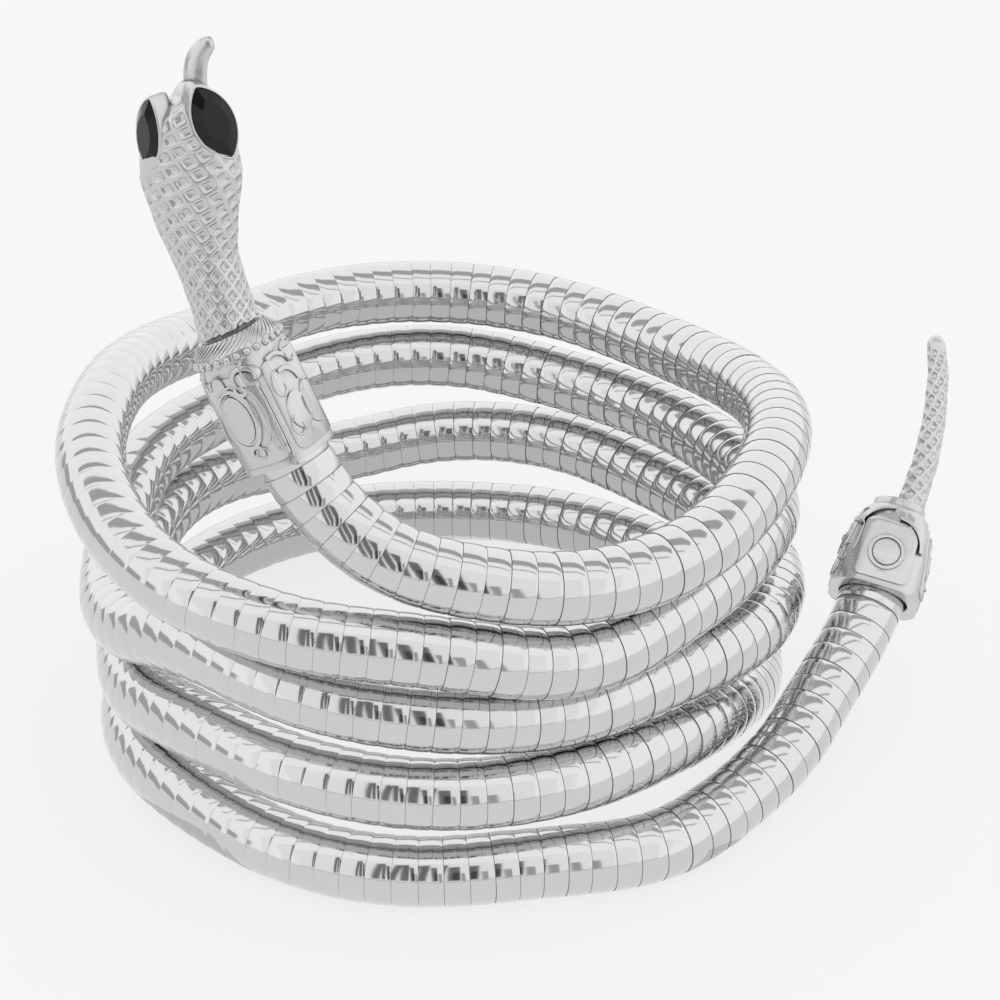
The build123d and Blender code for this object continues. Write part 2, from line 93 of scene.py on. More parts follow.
def scaled(colour: Point, share: float) -> Point:
    """A colour made darker or brighter."""
    return tuple(value * share for value in colour)


class NodeBench:
    """Lays out the shader nodes of one material."""

    def __init__(self, name: str) -> None:
        """Starts an empty material.

        Args:
            name: Name of the new material.
        """
        self.material = bpy.data.materials.new(name)
        self.material.use_nodes = True
        self.tree = self.material.node_tree
        self.tree.nodes.clear()
        self.out = self.tree.nodes.new("ShaderNodeOutputMaterial")

    def node(self, kind: str, **values: object) -> bpy.types.Node:
        """Adds a node and sets its values.

        Args:
            kind: Type of the node, without the common first words.
            **values: Socket values or settings; spaces in a socket's name are written as underscores.

        Returns:
            The new node.
        """
        made = self.tree.nodes.new("ShaderNode" + kind)
        for key, value in values.items():
            socket = made.inputs.get(key.replace("_", " "))
            if socket is None:
                setattr(made, key, value)
            else:
                socket.default_value = value
        return made

    def link(self, source: Socket, target: Socket) -> None:
        """Joins two sockets."""
        self.tree.links.new(source, target)

    def roughen(self, shader: bpy.types.Node, share: Socket, low: float, wear: float) -> None:
        """Spreads a shader's roughness over a range.

        Args:
            shader: The shader to roughen.
            share: Socket that says how worn a place is.
            low: Roughness where it isn't worn.
            wear: What is added where it is most worn.
        """
        made = self.node("MapRange", To_Min=low, To_Max=low + wear)
        self.link(share, made.inputs["Value"])
        self.link(made.outputs["Result"], shader.inputs["Roughness"])

    def noise(self, **values: float) -> Socket:
        """Adds a cloudy pattern that is fixed to the object and returns the socket of its value.

        Args:
            **values: Settings of the pattern, such as its scale.

        Returns:
            The socket of its value.
        """
        made = self.node("TexNoise", **values)
        self.link(self.node("TexCoord").outputs["Object"], made.inputs["Vector"])
        return made.outputs["Fac"]

    def tint(self, shader: bpy.types.Node, share: Socket, low: Point, high: Point) -> None:
        """Colours a shader between two colours.

        Args:
            shader: The shader to colour.
            share: Socket that says how much of the second colour shows.
            low: First colour.
            high: Second colour.
        """
        made = self.node("Mix", data_type="RGBA")
        made.inputs["A"].default_value = (*low, 1.0)
        made.inputs["B"].default_value = (*high, 1.0)
        self.link(share, made.inputs["Factor"])
        self.link(made.outputs["Result"], shader.inputs["Base Color"])

    def bump(self, shader: bpy.types.Node, height: Socket, strength: float, depth: float) -> None:
        """Gives a shader's surface a fine relief.

        Args:
            shader: The shader to change.
            height: Socket that gives the height.
            strength: Share of the bump that shows.
            depth: Greatest height of the bump.
        """
        made = self.node("Bump", Strength=strength, Distance=depth)
        self.link(height, made.inputs["Height"])
        self.link(made.outputs["Normal"], shader.inputs["Normal"])

    def finish(self, shader: bpy.types.Node) -> Material:
        """Joins the shader to the output and returns the material."""
        self.link(shader.outputs[0], self.out.inputs["Surface"])
        return self.material


@dataclass(frozen=True)
class PolishedMetal:
    """Bright plated metal with a little wave and wear in its polish."""

    name: str = "polished_silver"
    colour: Point = (0.645, 0.645, 0.64)
    roughness: float = 0.075
    wear: float = 0.06
    worn_share: float = 0.93
    wave: float = 0.012 * MM

    def material(self) -> Material:
        """Makes the material.

        Returns:
            The material.
        """
        bench = NodeBench(self.name)
        shader = bench.node("BsdfPrincipled", Metallic=1.0)
        cloud = bench.noise(Scale=420.0, Detail=4.0, Roughness=0.6)
        bench.roughen(shader, cloud, self.roughness, self.wear)
        bench.tint(shader, cloud, scaled(self.colour, self.worn_share), self.colour)
        bench.bump(shader, bench.noise(Scale=260.0, Detail=1.0), 1.0, self.wave)
        return bench.finish(shader)


@dataclass(frozen=True)
class CastMetal:
    """Plated casting, softly bright on its high places, with painted shade that greys its colour in its
    hollows.
    """

    name: str = "cast_silver"
    colour: Point = (0.585, 0.585, 0.58)
    painted_hollow_shade: Point = (0.13, 0.13, 0.13)
    hollow: float = 0.45 * MM
    open_range: tuple[float, float] = (0.35, 0.93)
    roughness: float = 0.2
    wear: float = 0.14
    grain: float = 0.02 * MM
    grain_strength: float = 0.6

    def material(self) -> Material:
        """Makes the material.

        Returns:
            The material.
        """
        bench = NodeBench(self.name)
        shader = bench.node("BsdfPrincipled", Metallic=1.0)
        # Painted shade: ambient occlusion darkens the colour toward the dark hollow colour in hollows and
        # crevices.
        depth = bench.node("AmbientOcclusion", samples=8, only_local=True, Distance=self.hollow)
        closed, opened = self.open_range
        open_share = bench.node("MapRange", From_Min=closed, From_Max=opened)
        bench.link(depth.outputs["AO"], open_share.inputs["Value"])
        bench.tint(shader, open_share.outputs["Result"], self.painted_hollow_shade, self.colour)
        speckle = bench.noise(Scale=900.0, Detail=5.0, Roughness=0.65)
        bench.roughen(shader, speckle, self.roughness, self.wear)
        bench.bump(shader, speckle, self.grain_strength, self.grain)
        return bench.finish(shader)


@dataclass(frozen=True)
class SeamShade:
    """Dark colour painted down in the seams between the bands: painted shade that stands in for the shadow in
    the crevices.
    """

    name: str = "seam_shadow"
    colour: Point = (0.30, 0.30, 0.30)
    patchy_shade_share: float = 0.5
    roughness: float = 0.4
    wear: float = 0.2

    def material(self) -> Material:
        """Makes the material.

        Returns:
            The material.
        """
        bench = NodeBench(self.name)
        shader = bench.node("BsdfPrincipled", Metallic=1.0)
        speckle = bench.noise(Scale=1500.0, Detail=3.0)
        # Painted shade: the seam colour, made patchy by the noise, stands in for the shadow down in the
        # crevices.
        bench.tint(shader, speckle, scaled(self.colour, self.patchy_shade_share), self.colour)
        bench.roughen(shader, speckle, self.roughness, self.wear)
        return bench.finish(shader)


@dataclass(frozen=True)
class BlackStone:
    """Opaque black stone with a glass-like polish."""

    name: str = "black_stone"
    colour: Point = (0.004, 0.004, 0.005)
    cloud_share: float = 2.5
    gloss: float = 1.34
    roughness: float = 0.02
    wear: float = 0.05

    def material(self) -> Material:
        """Makes the material.

        Returns:
            The material.
        """
        bench = NodeBench(self.name)
        shader = bench.node("BsdfPrincipled", Metallic=0.0, IOR=self.gloss)
        cloud = bench.noise(Scale=700.0, Detail=3.0)
        bench.tint(shader, cloud, self.colour, scaled(self.colour, self.cloud_share))
        bench.roughen(shader, cloud, self.roughness, self.wear)
        return bench.finish(shader)


def object_from(bm: Form, name: str, materials: list[Material]) -> Body:
    """Turns a modelled form into an object of the scene.

    Args:
        bm: The form, which is used up.
        name: Name of the object.
        materials: Finishes, in the order of the faces' material numbers.

    Returns:
        The object.
    """
    mesh = bpy.data.meshes.new(name)
    bm.to_mesh(mesh)
    bm.free()
    for material in materials:
        mesh.materials.append(material)
    made = bpy.data.objects.new(name, mesh)
    bpy.context.scene.collection.objects.link(made)
    return made


def ring_edges(ring: list[Corner]) -> list[Edge]:
    """Edges that meet the corners of a ring."""
    return list({edge for vertex in ring for edge in vertex.link_edges})


def drawn_out(bm: Form, edges: list[Edge]) -> tuple[list[Corner], list[Edge]]:
    """Draws a ring of edges out into a new one, still in the same place.

    Args:
        bm: The form that holds the ring.
        edges: Edges of the ring.

    Returns:
        The corners and the edges of the new ring.
    """
    made = bmesh.ops.extrude_edge_only(bm, edges=edges)["geom"]
    fresh = [part for part in made if isinstance(part, Corner)]
    return fresh, [part for part in made if isinstance(part, Edge) and set(part.verts) <= set(fresh)]


def draw_rings(bm: Form, rings: list[Matrix], sides: int, capped: bool) -> None:
    """Draws a circle out through a row of places.

    Args:
        bm: The form that it is added to.
        rings: Places and sizes of the circle, in order.
        sides: Number of the circle's corners.
        capped: Whether the first circle is closed by a face.
    """
    made = bmesh.ops.create_circle(bm, segments=sides, radius=1.0, cap_ends=capped, matrix=rings[0])
    edges = ring_edges(made["verts"])
    for last, ring in zip(rings, rings[1:]):
        fresh, edges = drawn_out(bm, edges)
        bmesh.ops.transform(bm, matrix=ring @ last.inverted(), verts=fresh)


def fill_rims(bm: Form) -> None:
    """Closes every open rim of a form with a face."""
    bmesh.ops.holes_fill(bm, edges=[edge for edge in bm.edges if edge.is_boundary])


def smooth_all(bm: Form) -> None:
    """Turns all faces of a form outward and shades them smooth.

    Args:
        bm: The form.
    """
    bmesh.ops.recalc_face_normals(bm, faces=bm.faces)
    for face in bm.faces:
        face.smooth = True


@dataclass
class Station:
    """A place along the body's line, with the axes of the ring that stands there."""

    centre: Vector
    side: Vector
    up: Vector
    ahead: Vector

    def ring(self, radius: float) -> Matrix:
        """Matrix that sets a circle of radius 1 here, grown to the radius."""
        turn = Matrix((self.side * radius, self.up * radius, self.ahead)).transposed().to_4x4()
        return Matrix.Translation(self.centre) @ turn

    def leaned(self, angle: float, axis: Vector) -> "Station":
        """The same place with its ring tipped by an angle about an axis."""
        lean = Matrix.Rotation(angle, 3, axis)
        return Station(self.centre, lean @ self.side, lean @ self.up, lean @ self.ahead)

    def towards(self, following: "Station", share: float) -> "Station":
        """Place at a share of the way to the following one.

        Args:
            following: The next place along the line.
            share: Share of the way.

        Returns:
            The place between.
        """
        ahead = self.ahead.lerp(following.ahead, share).normalized()
        side = self.side.lerp(following.side, share)
        side = (side - ahead * side.dot(ahead)).normalized()
        return Station(self.centre.lerp(following.centre, share), side, ahead.cross(side), ahead)


def frame_at(origin: Vector, axis: Vector, facing: Point) -> Matrix:
    """Axes of a casting: Z along it, Y the way it faces, and X to the viewer's left.

    Args:
        origin: Middle of the casting's foot.
        axis: The way the casting points.
        facing: The way its ornament faces.

    Returns:
        The matrix from the casting's own place to the bracelet's.
    """
    along = axis.normalized()
    side = Vector(facing).cross(along).normalized()
    turn = Matrix((side, along.cross(side), along)).transposed().to_4x4()
    return Matrix.Translation(origin) @ turn


@dataclass(frozen=True)
class CollarSeat:
    """An end of the tube, with the way that its collar points and faces."""

    origin: Vector
    axis: Vector
    facing: Point

    def frame(self) -> Matrix:
        """Axes of the collar."""
        return frame_at(self.origin, self.axis, self.facing)


@dataclass
class Route:
    """Line of the body's middle, from the neck down the four turns to the tail."""

    coil_radius: float = 33.0 * MM
    tube_diameter: float = 6.4 * MM
    strand_step: float = 7.0 * MM
    turn_steps: int = 16
    neck: tuple[Point, ...] = ((-0.409, -0.824, 6.29), (-0.336, -0.864, 5.56), (-0.191, -0.939, 4.86))
    turn_reach: Table = (
        (0.97, 1.01, 1.01, 0.99, 1.00, 0.99, 0.99, 1.01, 1.01, 0.99, 0.95, 0.93, 0.95, 1.05, 1.10, 1.06),
        (1.01, 1.02, 0.96, 0.96, 0.98, 0.98, 0.99, 0.99, 1.00, 0.99, 0.98, 1.00, 0.96, 1.00, 0.95, 0.98),
        (0.97, 0.95, 0.94, 0.99, 1.01, 1.00, 0.99, 1.00, 1.00, 0.98, 1.01, 0.99, 0.92, 0.97, 0.96, 0.99),
        (1.01, 0.99, 0.94, 0.92, 0.96, 0.98, 1.00, 1.00, 0.99, 1.00, 1.00, 0.97, 0.92, 0.97, 0.97, 1.00),
    )
    turn_lift: Table = (
        (4.48, 4.11, 4.07, 4.23, 4.18, 3.82, 3.60, 3.71, 3.84, 3.93, 3.93, 4.32, 4.66, 4.50, 4.01, 3.67),
        (3.50, 3.01, 3.16, 3.14, 2.87, 2.54, 2.46, 2.55, 2.79, 2.79, 2.61, 2.57, 2.06, 1.97, 2.67, 2.54),
        (2.34, 2.11, 2.12, 1.85, 1.61, 1.37, 1.28, 1.47, 1.45, 1.19, 1.48, 1.50, 1.10, 0.91, 1.35, 1.31),
        (1.23, 1.18, 1.03, 0.58, 0.0, 0.0, 0.05, 0.03, 0.0, 0.05, 0.08, 0.07, 0.0, 0.0, 0.12, 0.02),
    )
    tail: tuple[Point, ...] = (
        (-0.055, -1.027, 0.0), (0.285, -0.979, 0.03), (0.609, -0.921, 0.0), (0.806, -0.752, 0.01),
        (1.018, -0.527, 0.27), (1.136, -0.315, 0.59), (1.239, -0.161, 0.94), (1.309, -0.039, 1.30),
        (1.341, 0.036, 1.60),
    )
    line_steps: int = 24
    head_facing: Point = (-0.46, -0.89, -0.02)
    tail_facing: Point = (-0.03, -0.64, 0.77)

    def lifted(self, across: float, deep: float, lift: float) -> Vector:
        """Point of the route from two distances and a count of strands above the floor."""
        return Vector((across, deep, self.tube_diameter / 2 + lift * self.strand_step))

    def corners(self) -> list[Vector]:
        """Corners of the route, from the neck to the tail.

        Returns:
            The corners.
        """
        size = self.coil_radius
        corners = [self.lifted(size * x, size * y, lift) for x, y, lift in self.neck]
        corner_radius = size / math.cos(math.pi / self.turn_steps)
        for reaches, lifts in zip(self.turn_reach, self.turn_lift):
            for step, (reach, lift) in enumerate(zip(reaches, lifts)):
                angle = 2 * math.pi * step / self.turn_steps
                radius = corner_radius * reach
                corners.append(self.lifted(radius * math.sin(angle), -radius * math.cos(angle), lift))
        return corners + [self.lifted(size * x, size * y, lift) for x, y, lift in self.tail]

    def seats(self) -> tuple[CollarSeat, CollarSeat]:
        """Seats of the head's collar and of the tail's.

        Returns:
            The two seats, the head's first.
        """
        first, second, *_, next_to_last, last = self.corners()
        return (CollarSeat(first, first - second, self.head_facing),
                CollarSeat(last, last - next_to_last, self.tail_facing))

    def line(self) -> list[Vector]:
        """Points of the smooth line that the corners steer.

        Returns:
            The points, from the neck to the tail.
        """
        curve = bpy.data.curves.new("body_line", "CURVE")
        curve.dimensions = "3D"
        spline = curve.splines.new("NURBS")
        corners = self.corners()
        spline.points.add(len(corners) - 1)
        for point, corner in zip(spline.points, corners):
            point.co = (*corner, 1.0)
        spline.order_u = 3
        spline.use_endpoint_u = True
        spline.resolution_u = self.line_steps
        holder = bpy.data.objects.new("body_line", curve)
        mesh = bpy.data.meshes.new_from_object(holder)
        points = [vertex.co.copy() for vertex in mesh.vertices]
        bpy.data.meshes.remove(mesh)
        bpy.data.objects.remove(holder)
        bpy.data.curves.remove(curve)
        return points

    def stations(self, pitch: float) -> list[Station]:
        """Places one pitch apart along the line, with axes carried on from each to the next.

        Args:
            pitch: Wanted distance between stations.

        Returns:
            The stations from the neck to the tail, evenly apart.
        """
        points = self.line()
        lengths = [0.0]
        for here, following in zip(points, points[1:]):
            lengths.append(lengths[-1] + (following - here).length)
        count = round(lengths[-1] / pitch)
        centres, leg = [], 0
        for step in range(count + 1):
            wanted = lengths[-1] * step / count
            while leg < len(points) - 2 and lengths[leg + 1] < wanted:
                leg += 1
            share = (wanted - lengths[leg]) / (lengths[leg + 1] - lengths[leg])
            centres.append(points[leg].lerp(points[leg + 1], share))
        stations, side = [], Vector((0, 0, 1))
        for step, centre in enumerate(centres):
            before, after = centres[max(step - 1, 0)], centres[min(step + 1, count)]
            ahead = (after - before).normalized()
            side = (side - ahead * side.dot(ahead)).normalized()
            stations.append(Station(centre, side, ahead.cross(side), ahead))
        return stations


class Piece:
    """What every new piece has in common: a mesh, a finish and the body that it rides on."""

    def __init__(self, name: str) -> None:
        """Starts an empty piece.

        Args:
            name: Name of the piece's object.
        """
        self.name = name
        self.bm = bmesh.new()

    def place(self, materials: list[Material], slot: str, replaced: list[str]) -> Body:
        """Turns the modelled form into an object that rides on the bracelet.

        Args:
            materials: Finishes, in the order of the faces' material numbers.
            slot: The record's material slot; not used.
            replaced: Pieces of the frame that this one stands for, if any.

        Returns:
            The object of the piece.
        """
        made = object_from(self.bm, self.name, materials)
        if replaced:
            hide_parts(*replaced)
        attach(made, ROOT)
        return made


@dataclass
class BandedBody:
    """Flexible tube of narrow bands, each tucked under the edge of its neighbour."""

    route: Route
    pitch: float = 2.2 * MM
    radius: float = 3.2 * MM
    sides: int = 32
    lip: float = 0.05 * MM
    crown: float = 0.055 * MM
    tuck: float = 0.05 * MM
    seam_depth: float = 0.03 * MM
    seam_width: float = 0.045 * MM
    seam_before: float = 0.5
    seam_after: float = 0.3
    weld: float = 0.001 * MM
    lean: float = 0.9
    swell: float = 0.012 * MM
    crests: tuple[float, ...] = (0.06, 0.32, 0.62, 0.9)
    seed: int = 7

    def profile(self) -> list[tuple[float, float, bool]]:
        """One band from the head's side to the tail's: share along, radius, and if the next face is seam.

        Returns:
            The rings of one band, in order.
        """
        raised = self.radius + self.lip
        seam = self.seam_width / self.pitch
        low = raised - self.tuck
        barrel = [(share, raised + self.crown * (1 - (2 * share - 1)**2), False) for share in self.crests]
        return [(0.0, low - self.seam_depth, True), (seam * self.seam_after, raised, False), *barrel,
                (1.0 - seam * self.seam_before, low, True)]

    def rings(self) -> list[Matrix]:
        """Places of all the rings of all the bands, each band leaning a little its own way.

        Returns:
            The places, from the neck to the tail.
        """
        hand = random.Random(self.seed)
        bands = []
        for here in self.route.stations(self.pitch):
            axis = here.side * hand.uniform(-1, 1) + here.up * hand.uniform(-1, 1)
            bands.append(here.leaned(math.radians(hand.gauss(0, self.lean)), axis))
        places = []
        for here, following in zip(bands, bands[1:]):
            growth = hand.gauss(0, self.swell)
            places += [here.towards(following, share).ring(radius + growth)
                       for share, radius, _ in self.profile()]
        return places

    def build(self, polished: Material, seam: Material) -> None:
        """Rolls a long ribbed strip into the body.

        Args:
            polished: Finish of the bands.
            seam: Painted seam shade down in the seams.
        """
        piece = Piece("banded_body")
        bm, rings = piece.bm, self.rings()
        in_seam = [is_seam for _, _, is_seam in self.profile()]
        rows = len(rings) - 1
        bmesh.ops.create_grid(bm, x_segments=rows, y_segments=self.sides, size=0.5)
        for face in bm.faces:
            row = math.floor((face.calc_center_median().x + 0.5) * rows)
            face.material_index = int(in_seam[row % len(in_seam)])
            face.smooth = True
        for vertex in bm.verts:
            row = round((vertex.co.x + 0.5) * rows)
            turn = 2 * math.pi * vertex.co.y
            vertex.co = rings[row] @ Vector((math.cos(turn), math.sin(turn), 0.0))
        bmesh.ops.remove_doubles(bm, verts=bm.verts, dist=self.weld)
        fill_rims(bm)
        bmesh.ops.recalc_face_normals(bm, faces=bm.faces)
        for edge in bm.edges:
            if len({face.material_index for face in edge.link_faces}) > 1:
                edge.smooth = False
        made = piece.place([polished, seam], "polished_tube", ["body_tube"])
        log.info("banded_body: %d bands, %d faces", len(rings) // len(in_seam), len(made.data.polygons))


def between(table: Table, share: float) -> list[float]:
    """Row of a table at a share along it, in a straight line from one row to the next.

    Args:
        table: Rows, each starting with its share along.
        share: Share to look up.

    Returns:
        The row there.
    """
    before, after = next(
        (pair for pair in zip(table, table[1:]) if share <= pair[1][0]), (table[-2], table[-1])
    )
    part = (share - before[0]) / (after[0] - before[0])
    return [a + (b - a) * part for a, b in zip(before, after)]


def clamped(value: float) -> float:
    """The value, held between nought and one."""
    return max(0.0, min(1.0, value))


@dataclass
class NettedCasting:
    """Long casting whose skin is a raised net that climbs round it, with a sunk square in each mesh."""

    seat: CollarSeat
    name: str
    node: str
    foot: Point
    aim: Point
    facing: Point
    length: float
    width: float
    depth: float
    sections: Table
    columns: int
    climb: int
    net_span: tuple[float, float]
    pit: float
    rows: int = 17
    skin_span: tuple[float, float] = (0.0, 0.985)
    hand: int = 1
    mesh_stops: tuple[float, ...] = (0.0, 0.16, 0.24, 0.5, 0.76, 0.84)
    dome: float = 0.4
    fade_rate: float = 40.0
    spare_rows: int = 2
    cut_slack: float = 1e-5
    weld: float = 0.004 * MM
    tip_rings: tuple[tuple[float, float], ...] = ((0.86, 0.05), (0.62, 0.11), (0.3, 0.14))

    def __post_init__(self) -> None:
        """Works out the casting's axes from those of its collar."""
        self.frame = frame_at(self.seat.frame() @ Vector(self.foot), Vector(self.aim), self.facing)
        turned = self.frame.to_3x3().transposed() @ self.seat.axis.normalized()
        self.root_lean = math.atan2(turned.x, turned.z)
        self.slope = math.atan2(self.climb, self.columns)

    def skin(self, turn: float, share: float, sink: float) -> Vector:
        """Point of the skin.

        Args:
            turn: Angle round the casting, from the way it faces to the viewer's left.
            share: Share of the casting's length.
            sink: Depth below the skin.

        Returns:
            The point.
        """
        _, bow, lean, half, back, belly = between(self.sections, share)
        across = half * self.width * math.sin(turn)
        rise = (back if math.cos(turn) > 0 else belly) * self.depth * math.cos(turn)
        inward = 1 - sink / math.hypot(across, rise)
        angle = lean * self.root_lean
        return self.frame @ Vector((
            bow * self.length + across * inward * math.cos(angle),
            rise * inward,
            share * self.length - across * inward * math.sin(angle),
        ))

    def sink(self, column: float, row: float) -> float:
        """Depth of the skin at a place on the net: none on the ridges, most round the edge of a square.

        Args:
            column: Place across the net, in squares.
            row: Place up the net, in squares.

        Returns:
            The depth.
        """
        _, edge, foot, middle, *_ = self.mesh_stops
        deep = 1.0
        nearest = []
        for place in (column, row):
            share = place - math.floor(place)
            share = min(share, 1 - share)
            nearest.append(share)
            deep = min(deep, clamped((share - edge) / (foot - edge)))
        swell = max(0.0, min(nearest) - foot) / (middle - foot)
        return self.pit * (deep - self.dome * swell)

    def model_skin(self, bm: Form) -> None:
        """Lays out the net flat, trims its ends, and rolls it round the casting.

        Args:
            bm: The casting's form.
        """
        stops = len(self.mesh_stops)
        high = self.rows + self.climb + 2 * self.spare_rows
        bmesh.ops.create_grid(bm, x_segments=self.columns * stops, y_segments=high * stops, size=0.5)
        for vertex in bm.verts:
            step = round((vertex.co.x + 0.5) * self.columns * stops)
            rise = round((vertex.co.y + 0.5) * high * stops)
            vertex.co = Vector((
                step // stops + self.mesh_stops[step % stops],
                rise // stops + self.mesh_stops[rise % stops] - self.climb - self.spare_rows,
                0.0,
            ))
        upward = Vector((math.sin(self.slope), math.cos(self.slope), 0.0))
        first, last = self.net_span
        height = self.rows * math.cos(self.slope)
        for share, way in zip(self.skin_span, (-1, 1)):
            level = (share - first) / (last - first) * height
            bmesh.ops.bisect_plane(
                bm, geom=bm.verts[:] + bm.edges[:] + bm.faces[:], dist=self.cut_slack,
                plane_co=upward * level, plane_no=upward * way, clear_outer=True,
            )
        around = math.hypot(self.columns, self.climb)
        for vertex in bm.verts:
            column, row = vertex.co.x, vertex.co.y
            turn = 2 * math.pi * (column * math.cos(self.slope) - row * math.sin(self.slope)) / around
            level = column * math.sin(self.slope) + row * math.cos(self.slope)
            share = first + (last - first) * level / height
            fade = clamped((last - share) * self.fade_rate + 1)
            if self.plain_at(self.skin(self.hand * turn, share, 0.0)):
                fade = 0.0
            vertex.co = self.skin(self.hand * turn, share, fade * self.sink(column, row))
        bmesh.ops.remove_doubles(bm, verts=bm.verts, dist=self.weld)
        self.close_ends(bm)

    def close_ends(self, bm: Form) -> None:
        """Rounds off the tip and closes the foot.

        Args:
            bm: The casting's form, open at both ends.
        """
        middle = self.frame @ Vector((0, 0, self.length / 2))
        axis = self.frame.to_3x3() @ Vector((0, 0, 1))
        rims = [edge for edge in bm.edges if edge.is_boundary]
        tip = [edge for edge in rims if (edge.verts[0].co - middle).dot(axis) > 0]
        centre = sum((vertex.co for edge in tip for vertex in edge.verts), Vector()) / (2 * len(tip))
        scale_so_far, forward_so_far = 1.0, 0.0
        for scale, forward in self.tip_rings:
            fresh, tip = drawn_out(bm, tip)
            at = Matrix.Translation(centre + axis * forward_so_far * self.width)
            bmesh.ops.scale(bm, vec=(scale / scale_so_far,) * 3, space=at.inverted(), verts=fresh)
            bmesh.ops.translate(bm, vec=axis * (forward - forward_so_far) * self.width, verts=fresh)
            scale_so_far, forward_so_far = scale, forward
        fill_rims(bm)

    def build(self, metal: Material) -> None:
        """Models the casting.

        Args:
            metal: Finish of the casting.
        """
        piece = Piece(self.name)
        self.model_skin(piece.bm)
        self.add_parts(piece.bm)
        smooth_all(piece.bm)
        made = piece.place([metal], "cast_silver", [self.node])
        soft = made.modifiers.new("soft", "SUBSURF")
        soft.levels = 1
        soft.render_levels = 1
        log.info("%s: %d faces", self.name, len(made.data.polygons))

    def plain_at(self, place: Vector) -> bool:
        """Says if the skin has no squares at a place."""
        return False

    def add_parts(self, bm: Form) -> None:
        """Adds what else is cast on; a plain casting has nothing more."""


@dataclass
class EyeRim:
    """Thin rim that holds a pointed oval stone."""

    hand: int
    along: float
    across: float = 0.33
    rise: float = 0.33
    tilt: float = 43.0
    splay: float = 21.0
    stone_length: float = 6.7 * MM
    stone_width: float = 3.6 * MM
    plain_edge: float = 0.3 * MM
    sides: int = 48
    rings: tuple[tuple[float, float], ...] = (
        (-0.01, -0.5), (-0.01, 0.16), (0.03, 0.25), (0.10, 0.27), (0.16, 0.21), (0.20, 0.04),
        (0.23, -0.35), (0.28, -1.0), (0.33, -1.7),
    )

    def oval(self, spread: float) -> tuple[float, float, float]:
        """Length, width and arc radius of the pointed oval that stands so far outside the stone.

        Args:
            spread: How far the oval stands outside the stone.

        Returns:
            The three sizes.
        """
        width = self.stone_width + 2 * spread
        length = self.stone_length + 2 * spread * self.stone_length / self.stone_width
        return length, width, (length**2 + width**2) / (4 * width)

    def navette(self, step: int, spread: float) -> Vector:
        """Point of the pointed oval's outline.

        Args:
            step: Number of the point, from one tip round to the other and back.
            spread: How far the outline stands outside the stone.

        Returns:
            The point, in the stone's own plane.
        """
        length, width, radius = self.oval(spread)
        half_angle = math.atan2(length / 2, radius - width / 2)
        half = self.sides // 2
        angle = half_angle * (1 - 2 * (step % half) / half)
        way = 1 if step < half else -1
        return way * Vector((radius * math.sin(angle), radius * math.cos(angle) - radius + width / 2, 0))

    def place(self, casting: NettedCasting) -> Matrix:
        """Axes of the stone on its casting: X along it and Z out of its table.

        Args:
            casting: The casting that carries the rim.

        Returns:
            The matrix from the stone's own place to the bracelet's.
        """
        _, bow, *_ = between(casting.sections, self.along)
        tilt, splay = math.radians(self.tilt), math.radians(self.splay)
        origin = Vector((
            bow * casting.length + self.hand * self.across * casting.width,
            self.rise * casting.depth,
            self.along * casting.length,
        ))
        normal = Vector((self.hand * math.sin(tilt), math.cos(tilt), 0))
        inward = Vector((-self.hand * math.cos(tilt), math.sin(tilt), 0))
        lengthwise = inward * math.sin(splay) + Vector((0, 0, math.cos(splay)))
        turn = Matrix((lengthwise, normal.cross(lengthwise), normal)).transposed().to_4x4()
        return casting.frame @ Matrix.Translation(origin) @ turn

    def covers(self, casting: NettedCasting, place: Vector) -> bool:
        """Says if a place lies under the stone or just beside it.

        Args:
            casting: The casting that carries the rim.
            place: The place to look at.

        Returns:
            Whether it does.
        """
        local = self.place(casting).inverted() @ place
        length, width, radius = self.oval(self.plain_edge)
        if abs(local.x) > length / 2:
            return False
        return abs(local.y) < math.sqrt(radius**2 - local.x**2) - radius + width / 2

    def model(self, bm: Form, casting: NettedCasting) -> None:
        """Models the rim on its casting.

        Args:
            bm: The casting's form.
            casting: The casting that carries the rim.
        """
        place = self.place(casting)
        ring = bmesh.ops.create_circle(bm, segments=self.sides, radius=1.0)["verts"]
        steps = {vertex: step for step, vertex in enumerate(ring)}
        edges = ring_edges(ring)
        for number, (spread, height) in enumerate(self.rings):
            if number:
                fresh, edges = drawn_out(bm, edges)
                steps = {vertex: next(steps[edge.other_vert(vertex)] for edge in vertex.link_edges
                                      if edge.other_vert(vertex) in steps) for vertex in fresh}
            for vertex, step in steps.items():
                vertex.co = place @ (self.navette(step, spread * MM) + Vector((0, 0, height * MM)))
        fill_rims(bm)


